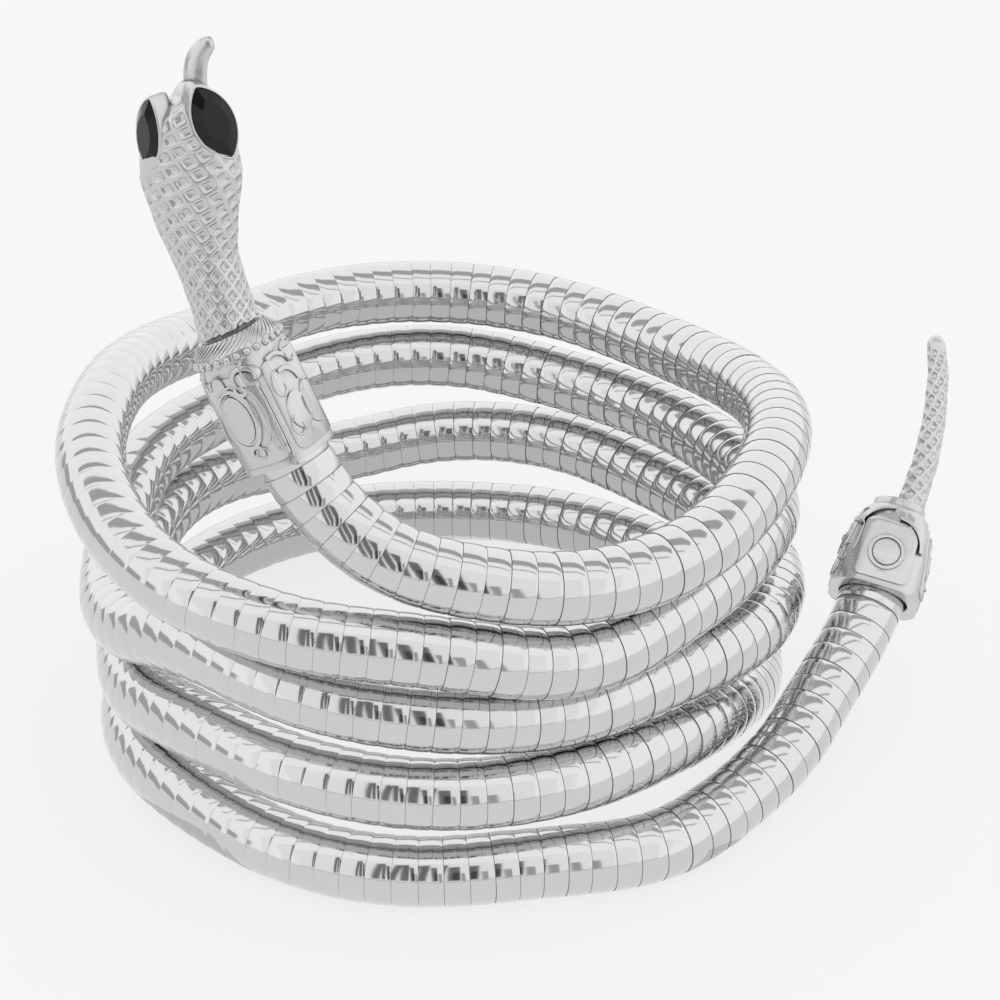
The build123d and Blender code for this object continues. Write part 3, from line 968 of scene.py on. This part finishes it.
@dataclass
class SnakeHead(NettedCasting):
    """The snake's head: netted skin, two eye rims and a bent flat tongue.

    Columns of the sections: along, bow, lean, half width, back, belly.
    Columns of the tongue's sections: along, bow, lean in degrees, width, thickness.
    """

    name: str = "head_casting"
    node: str = "head"
    foot: Point = (0.0, 0.0, 8.82 * MM)
    aim: Point = (-0.107, 0.215, 0.971)
    facing: Point = (-0.2, -0.96, 0.19)
    length: float = 20.7 * MM
    width: float = 8.4 * MM
    depth: float = 5.6 * MM
    sections: Table = (
        (0.00, 0.000, 1.00, 0.352, 0.525, 0.525),
        (0.03, 0.004, 0.97, 0.330, 0.495, 0.495),
        (0.13, 0.018, 0.85, 0.318, 0.470, 0.470),
        (0.29, 0.051, 0.55, 0.330, 0.460, 0.450),
        (0.45, 0.070, 0.10, 0.425, 0.480, 0.440),
        (0.56, 0.070, 0.00, 0.490, 0.510, 0.440),
        (0.65, 0.067, 0.00, 0.540, 0.530, 0.440),
        (0.79, 0.063, 0.00, 0.500, 0.560, 0.430),
        (0.90, 0.044, 0.00, 0.430, 0.530, 0.380),
        (0.96, 0.027, 0.00, 0.290, 0.410, 0.300),
        (1.00, 0.009, 0.00, 0.150, 0.210, 0.160),
    )
    columns: int = 15
    climb: int = 7
    net_span: tuple[float, float] = (0.045, 0.93)
    pit: float = 0.26 * MM
    hand: int = -1
    rims: tuple[EyeRim, ...] = (EyeRim(1, 0.842), EyeRim(-1, 0.876))
    brow: float = 0.8 * MM
    brow_along: float = 0.93
    brow_half: float = 0.16
    brow_edge: int = 8
    tongue_width: float = 2.1 * MM
    tongue_thickness: float = 1.0 * MM
    tongue_length: float = 5.7 * MM
    tongue_root: float = 1.4 * MM
    tongue_sides: int = 24
    tongue_sections: Table = (
        (0.00, 0.00, 0.0, 1.00, 1.00),
        (0.40, 0.01, 4.0, 1.00, 1.00),
        (0.62, 0.06, 22.0, 1.00, 1.00),
        (0.78, 0.15, 42.0, 0.90, 1.00),
        (0.88, 0.27, 62.0, 0.75, 0.90),
        (0.92, 0.38, 80.0, 0.50, 0.70),
    )

    def skin(self, turn: float, share: float, sink: float) -> Vector:
        """Point of the skin, as on a plain casting but with a little swell between the eyes.

        Args:
            turn: Angle round the casting, from the way it faces to the viewer's left.
            share: Share of the casting's length.
            sink: Depth below the skin.

        Returns:
            The point.
        """
        across = max(0.0, math.cos(turn))**self.brow_edge
        swell = across * max(0.0, 1 - ((share - self.brow_along) / self.brow_half)**2)
        return super().skin(turn, share, sink) + self.frame.to_3x3() @ Vector((0.0, self.brow * swell, 0.0))

    def plain_at(self, place: Vector) -> bool:
        """Says if the skin has no squares at a place: under the stones and their rims."""
        return any(rim.covers(self, place) for rim in self.rims)

    def add_parts(self, bm: Form) -> None:
        """Adds the tongue and the rims of the eyes.

        Args:
            bm: The head's form.
        """
        self.model_tongue(bm)
        for rim in self.rims:
            rim.model(bm, self)

    def model_tongue(self, bm: Form) -> None:
        """Draws a flat ring out along the tongue.

        Args:
            bm: The head's form.
        """
        rings = []
        for along, bow, lean, width, thickness in self.tongue_sections:
            place = Vector((-bow * self.tongue_length, 0,
                            self.length - self.tongue_root + along * self.tongue_length))
            flat = Matrix.Diagonal((width * self.tongue_width / 2, thickness * self.tongue_thickness / 2, 1, 1))
            bend = Matrix.Rotation(math.radians(-lean), 4, "Y")
            rings.append(self.frame @ Matrix.Translation(place) @ bend @ flat)
        draw_rings(bm, rings, self.tongue_sides, capped=True)
        fill_rims(bm)


@dataclass
class SnakeTail(NettedCasting):
    """The snake's tail: a slim netted casting that bends upward.

    Columns of the sections: along, bow, lean, half width, back, belly.
    """

    name: str = "tail_casting"
    node: str = "tail"
    foot: Point = (-1.0 * MM, 0.0, 7.52 * MM)
    aim: Point = (0.176, 0.684, 0.708)
    facing: Point = (-0.19, -0.69, 0.70)
    length: float = 18.4 * MM
    width: float = 2.9 * MM
    depth: float = 2.9 * MM
    sections: Table = (
        (0.00, 0.000, 1.00, 0.50, 0.50, 0.50),
        (0.27, -0.046, 0.50, 0.46, 0.46, 0.46),
        (0.52, -0.062, 0.00, 0.41, 0.41, 0.41),
        (0.78, -0.047, -0.60, 0.37, 0.37, 0.37),
        (0.96, -0.010, -1.00, 0.33, 0.33, 0.33),
        (1.00, 0.000, -1.00, 0.20, 0.20, 0.20),
    )
    columns: int = 7
    climb: int = 4
    net_span: tuple[float, float] = (0.02, 0.90)
    pit: float = 0.2 * MM


def finished_node(name: str, material: Material) -> Body:
    """Gives a piece of the frame its finish and returns it.

    Args:
        name: Name of the piece.
        material: Its finish.

    Returns:
        The piece's object.
    """
    node = frame["nodes"][name]
    node.data.materials.clear()
    node.data.materials.append(material)
    log.info("%s: dressed", name)
    return node


@dataclass
class Castings:
    """The two collars, as the frame holds them, with their edges softened."""

    nodes: tuple[str, ...] = ("head_collar", "tail_collar")
    weld: float = 0.002 * MM
    edge: float = 0.05 * MM
    edge_angle: float = 25.0

    def dress(self, metal: Material) -> None:
        """Gives each casting its metal and soft edges.

        Args:
            metal: Finish of the castings.
        """
        for name in self.nodes:
            node = finished_node(name, metal)
            node.data.shade_smooth()
            welded = node.modifiers.new("weld", "WELD")
            welded.merge_threshold = self.weld
            soft = node.modifiers.new("soft_edges", "BEVEL")
            soft.width = self.edge
            soft.segments = 2
            soft.limit_method = "ANGLE"
            soft.angle_limit = math.radians(self.edge_angle)
            soft.harden_normals = True


@dataclass(frozen=True)
class Stroke:
    """One curl of raised wire on a collar, drawn on the plane of a side and then laid on its metal.

    Across and half width run to the viewer's right and height up the collar, all in millimetres.
    The angle starts at the right and turns upward, and both halves shrink to the closing share.
    """

    turn: float
    across: float
    height: float
    half_width: float
    half_height: float
    start: float
    span: float
    close: float = 1.0
    thick: float = 0.15

    def points(self, count: int) -> list[tuple[float, float]]:
        """Points of the curl: distance across and height.

        Args:
            count: Number of points.

        Returns:
            The points, from the curl's start to its end.
        """
        made = []
        for step in range(count):
            share = step / (count - 1)
            angle = math.radians(self.start + self.span * share)
            size = 1 + (self.close - 1) * share
            made.append((self.across + self.half_width * size * math.cos(angle),
                         self.height + self.half_height * size * math.sin(angle)))
        return made


@dataclass
class Tracery:
    """Raised curls and slanted strokes laid over a cast collar."""

    seat: CollarSeat
    name: str
    node: str
    strokes: Table
    hatches: int = 0
    hatch_span: tuple[float, float] = (0.0, 0.0)
    hatch_stops: tuple[float, ...] = (-1.0, -0.6, -0.2, 0.2, 0.6, 1.0)
    hatch_lean: float = 15.0
    hatch_thick: float = 0.13
    taper: float = 0.45
    taper_steps: int = 3
    reach: float = 3.75 * MM
    far: float = 9.0 * MM
    lift: float = 0.02 * MM
    sides: int = 8
    steps: int = 26

    def __post_init__(self) -> None:
        """Works out the collar's axes."""
        self.frame = self.seat.frame()
        self.curls = [Stroke(*row) for row in self.strokes]

    def landed(self, tree: BVHTree, turn: float, across: float, height: float) -> tuple[Vector, Vector] | None:
        """Finds where a point of the drawing comes down on the collar.

        Args:
            tree: The collar's faces.
            turn: Angle of the side that it is drawn on.
            across: Distance to the viewer's right.
            height: Height along the collar.

        Returns:
            The place and the collar's outward direction there, or nothing where the collar isn't met.
        """
        angle = math.radians(turn) - math.atan2(across, self.reach)
        outward = self.frame.to_3x3() @ Vector((math.sin(angle), math.cos(angle), 0.0))
        foot = self.frame @ Vector((0.0, 0.0, height))
        place, normal, _, _ = tree.ray_cast(foot + outward * self.far, -outward)
        return None if place is None else (place, normal)

    def draw(self, bm: Form, places: list[tuple[Vector, Vector]], thick: float) -> None:
        """Draws a round wire through the places, thin at both ends.

        Args:
            bm: The tracery's form.
            places: Places on the collar, each with its outward direction.
            thick: Half the wire's thickness in millimetres.
        """
        rings = []
        for number, (place, normal) in enumerate(places):
            before = places[max(number - 1, 0)][0]
            after = places[min(number + 1, len(places) - 1)][0]
            ahead = (after - before).normalized()
            side = normal.cross(ahead).normalized()
            edge_share = min(number, len(places) - 1 - number) / self.taper_steps
            radius = thick * MM * min(1.0, self.taper + (1 - self.taper) * edge_share)
            rings.append(Station(place + normal * self.lift, side, ahead.cross(side), ahead).ring(radius))
        draw_rings(bm, rings, self.sides, capped=False)

    def build(self, metal: Material) -> None:
        """Lays all the strokes on the collar.

        Args:
            metal: Finish of the collar.
        """
        collar = bmesh.new()
        collar.from_mesh(frame["nodes"][self.node].data)
        collar.transform(frame["nodes"][self.node].matrix_world)
        tree = BVHTree.FromBMesh(collar)
        collar.free()
        lines = [(stroke.turn, stroke.points(self.steps), stroke.thick) for stroke in self.curls]
        low, high = self.hatch_span
        shift = self.reach / MM * math.radians(self.hatch_lean)
        slant = [(share * shift, low + (high - low) * (share + 1) / 2) for share in self.hatch_stops]
        for step in range(self.hatches):
            lines.append((360.0 * step / self.hatches, slant, self.hatch_thick))
        piece = Piece(self.name)
        for turn, points, thick in lines:
            places = [self.landed(tree, turn, across * MM, height * MM) for across, height in points]
            places = [place for place in places if place is not None]
            if len(places) > 2:
                self.draw(piece.bm, places, thick)
        fill_rims(piece.bm)
        smooth_all(piece.bm)
        made = piece.place([metal], "cast_silver", [])
        log.info("%s: %d strokes, %d faces", self.name, len(lines), len(made.data.polygons))


# Columns: turn, across, height, half width, half height, start, span, close, thick
HEAD_STROKES = (
    (0, 0.0, 1.76, 1.46, 2.33, 90, 360, 1.0, 0.17),
    (180, 0.0, 1.76, 1.42, 2.25, 90, 360, 1.0, 0.17),
    (0, 3.28, 0.6, 0.12, 3.2, 90, -180, 1.0, 0.14),
    (0, 3.66, 0.5, 0.12, 3.4, 90, -180, 1.0, 0.14),
    (0, 0.5, 1.7, 2.25, 3.05, -75, 200, 1.0, 0.13),
    (0, 3.1, 5.2, 1.15, 1.55, 70, 300, 0.35, 0.17),
    (0, -1.6, 5.5, 0.75, 1.0, 100, 290, 0.3, 0.14),
    (0, 3.0, 2.0, 0.35, 1.6, -90, 170, 1.0, 0.13),
    (0, 2.6, -1.4, 0.5, 0.8, 90, 250, 0.35, 0.13),
    (0, 0.6, -1.7, 0.75, 0.62, 0, 330, 0.5, 0.12),
    (0, -2.7, 0.8, 0.3, 1.3, 60, 230, 0.6, 0.12),
    (0, 1.2, 6.3, 1.0, 0.5, 20, 150, 1.0, 0.12),
    (90, -1.2, 5.0, 1.5, 1.4, 20, 120, 1.0, 0.15),
    (90, -1.0, 3.2, 1.3, 1.1, 25, 120, 1.0, 0.13),
    (90, -1.63, 0.0, 1.3, 2.0, -80, 200, 1.0, 0.14),
    (90, 1.6, 2.6, 1.0, 1.5, 100, 280, 0.3, 0.14),
    (90, 2.0, -0.9, 0.8, 1.1, 60, 300, 0.35, 0.13),
    (90, 1.2, 6.0, 1.2, 0.8, 30, 250, 0.4, 0.13),
    (-90, 1.2, 5.0, 1.3, 1.4, 40, 280, 0.3, 0.15),
    (-90, 1.3, 0.4, 1.3, 2.0, 60, 200, 1.0, 0.14),
    (-90, -1.5, 3.0, 1.1, 1.5, 80, 290, 0.3, 0.14),
    (-90, -1.6, -0.8, 0.9, 1.1, 100, 290, 0.35, 0.13),
    (180, 0.0, 1.7, 2.3, 3.1, -75, 330, 1.0, 0.13),
    (180, 2.4, 5.4, 0.9, 1.1, 70, 300, 0.35, 0.15),
    (180, -2.4, 5.4, 0.9, 1.1, 110, -300, 0.35, 0.15),
    (180, 0.0, -1.8, 0.8, 0.6, 0, 330, 0.5, 0.12),
)

TAIL_STROKES = (
    (60, 0.5, 4.3, 0.7, 1.2, 60, 300, 0.35, 0.16),
    (60, -0.5, 2.2, 0.8, 1.3, 110, -300, 0.35, 0.16),
    (60, 0.5, -0.1, 0.8, 1.2, 60, 300, 0.35, 0.15),
    (60, 1.4, 2.2, 0.3, 2.2, -80, 160, 1.0, 0.13),
    (-90, -0.6, 4.3, 0.8, 1.2, 120, -300, 0.35, 0.16),
    (-90, 0.6, 2.2, 0.9, 1.3, 70, 300, 0.35, 0.16),
    (-90, -0.7, -0.1, 0.9, 1.2, 120, -300, 0.35, 0.15),
    (-90, -2.0, 2.0, 0.4, 2.4, 100, 160, 1.0, 0.14),
    (180, 1.7, 4.0, 0.8, 0.9, 120, 250, 0.4, 0.14),
    (180, -1.7, 4.0, 0.8, 0.9, 60, -250, 0.4, 0.14),
)


@dataclass
class Eyes:
    """The two faceted black stones."""

    nodes: tuple[str, ...] = ("eye_left", "eye_right")

    def dress(self, stone: Material) -> None:
        """Gives each stone its finish.

        Args:
            stone: Finish of the stones.
        """
        for name in self.nodes:
            finished_node(name, stone)


@dataclass
class StudioCard:
    """A flat bright or dim card round the set, which only the reflections show."""

    name: str
    centre: Point
    size: tuple[float, float]
    tone: Tone
    aim: Point = (0.0, 0.0, 20.0)

    def build(self) -> None:
        """Stands the card in its place, facing its aim."""
        bench = NodeBench(self.name)
        bench.material.cycles.emission_sampling = "NONE"
        shade = bench.node("Emission", Strength=self.tone.value)
        bm = bmesh.new()
        centre = Vector(self.centre) * MM
        turn = (Vector(self.aim) * MM - centre).to_track_quat("Z", "Y").to_matrix().to_4x4()
        wide = Matrix.Diagonal((self.size[0] * MM, self.size[1] * MM, 1.0, 1.0))
        bmesh.ops.create_grid(bm, x_segments=1, y_segments=1, size=0.5,
                              matrix=Matrix.Translation(centre) @ turn @ wide)
        card = object_from(bm, self.name, [bench.finish(shade)])
        card.visible_camera = False
        card.visible_shadow = False
        card.visible_diffuse = False


@dataclass
class Studio:
    """Pale floor, soft light all round, cards for the reflections, and the camera."""

    floor_size: float = 4000.0 * MM
    floor_drop: float = 0.12 * MM
    floor_shade: float = 0.14
    floor_glow: float = 0.76
    sky: float = 1.24
    eye: Point = (6.06, -248.75, 167.1)
    aim: Point = (6.06, 11.06, 17.1)
    lens: float = 105.0
    sensor: float = 36.0
    sight: tuple[float, float] = (0.01, 20.0)
    cards: tuple[StudioCard, ...] = (
        StudioCard("front_wall", (0.0, -700.0, 440.0), (1800.0, 880.0), Tone.WALL),
        StudioCard("table_edge", (0.0, -600.0, 20.0), (1200.0, 40.0), Tone.SOFT),
        StudioCard("left_wall", (-600.0, 60.0, 95.0), (760.0, 150.0), Tone.HAZE),
        StudioCard("window_left", (-112.0, -330.0, 190.0), (44.0, 330.0), Tone.DARK),
        StudioCard("window_middle", (-52.0, -330.0, 190.0), (50.0, 330.0), Tone.DARK),
        StudioCard("window_right", (24.0, -330.0, 160.0), (64.0, 270.0), Tone.DARK),
        StudioCard("cabinet", (96.0, -330.0, 90.0), (52.0, 150.0), Tone.GREY),
        StudioCard("pane_middle", (-60.0, -326.0, 210.0), (24.0, 90.0), Tone.GREY),
        StudioCard("door", (34.0, -326.0, 110.0), (36.0, 130.0), Tone.NIGHT),
        StudioCard("ceiling_near", (0.0, -46.0, 420.0), (900.0, 24.0), Tone.GREY, (0.0, -46.0, 20.0)),
        StudioCard("ceiling_far", (0.0, 140.0, 420.0), (900.0, 150.0), Tone.HAZE, (0.0, 140.0, 20.0)),
        StudioCard("table_card", (0.0, 0.0, -0.08), (1200.0, 1200.0), Tone.TABLE, (0.0, 0.0, 100.0)),
        # Painted shade: a dimmer card inside the coil stands in for the shade on the floor there, seen only in
        # reflections.
        StudioCard("inner_floor_shade", (0.0, 0.0, -0.06), (60.0, 60.0), Tone.SHADED, (0.0, 0.0, 100.0)),
    )

    def floor(self) -> None:
        """Lays the floor."""
        bench = NodeBench("pale_floor")
        bench.material.cycles.emission_sampling = "NONE"
        shade = bench.node("BsdfPrincipled", Base_Color=(self.floor_shade,) * 3 + (1.0,), Roughness=1.0,
                           Specular_IOR_Level=0.0, Emission_Color=(1.0, 1.0, 1.0, 1.0),
                           Emission_Strength=self.floor_glow)
        bm = bmesh.new()
        bmesh.ops.create_grid(bm, x_segments=1, y_segments=1, size=self.floor_size / 2,
                              matrix=Matrix.Translation((0, 0, -self.floor_drop)))
        floor = object_from(bm, "floor", [bench.finish(shade)])

    def light(self) -> None:
        """Sets the even light that comes from all round."""
        world = bpy.data.worlds.new("soft_tent")
        world.use_nodes = True
        back = world.node_tree.nodes["Background"]
        back.inputs["Color"].default_value = (1.0, 1.0, 1.0, 1.0)
        back.inputs["Strength"].default_value = self.sky
        bpy.context.scene.world = world

    def camera(self) -> None:
        """Sets up the camera at the photograph's angle."""
        data = bpy.data.cameras.new("camera")
        data.lens = self.lens
        data.sensor_width = self.sensor
        data.clip_start, data.clip_end = self.sight
        camera = bpy.data.objects.new("camera", data)
        eye, aim = Vector(self.eye) * MM, Vector(self.aim) * MM
        camera.matrix_world = Matrix.Translation(eye) @ (eye - aim).to_track_quat("Z", "Y").to_matrix().to_4x4()
        bpy.context.scene.collection.objects.link(camera)
        bpy.context.scene.camera = camera

    def build(self) -> None:
        """Sets up the whole studio."""
        scene = bpy.context.scene
        scene.view_settings.view_transform = "Standard"
        self.floor()
        self.light()
        for card in self.cards:
            card.build()
        self.camera()
        log.info("studio: floor, light, %d cards and camera", len(self.cards))


def main() -> None:
    """Builds the bracelet's looks piece by piece, then the studio round it."""
    logging.basicConfig(level=logging.INFO, format="%(name)s: %(message)s")
    polished, cast, seam, stone = (
        finish.material() for finish in (PolishedMetal(), CastMetal(), SeamShade(), BlackStone())
    )
    route = Route()
    head_seat, tail_seat = route.seats()
    BandedBody(route).build(polished, seam)
    SnakeHead(head_seat).build(cast)
    SnakeTail(tail_seat).build(cast)
    Castings().dress(cast)
    Tracery(head_seat, "head_collar_tracery", "head_collar", HEAD_STROKES,
            hatches=40, hatch_span=(7.45, 8.55)).build(cast)
    Tracery(tail_seat, "tail_collar_tracery", "tail_collar", TAIL_STROKES, reach=4.4 * MM).build(cast)
    Eyes().dress(stone)
    Studio().build()


if __name__ == "__main__":
    main()
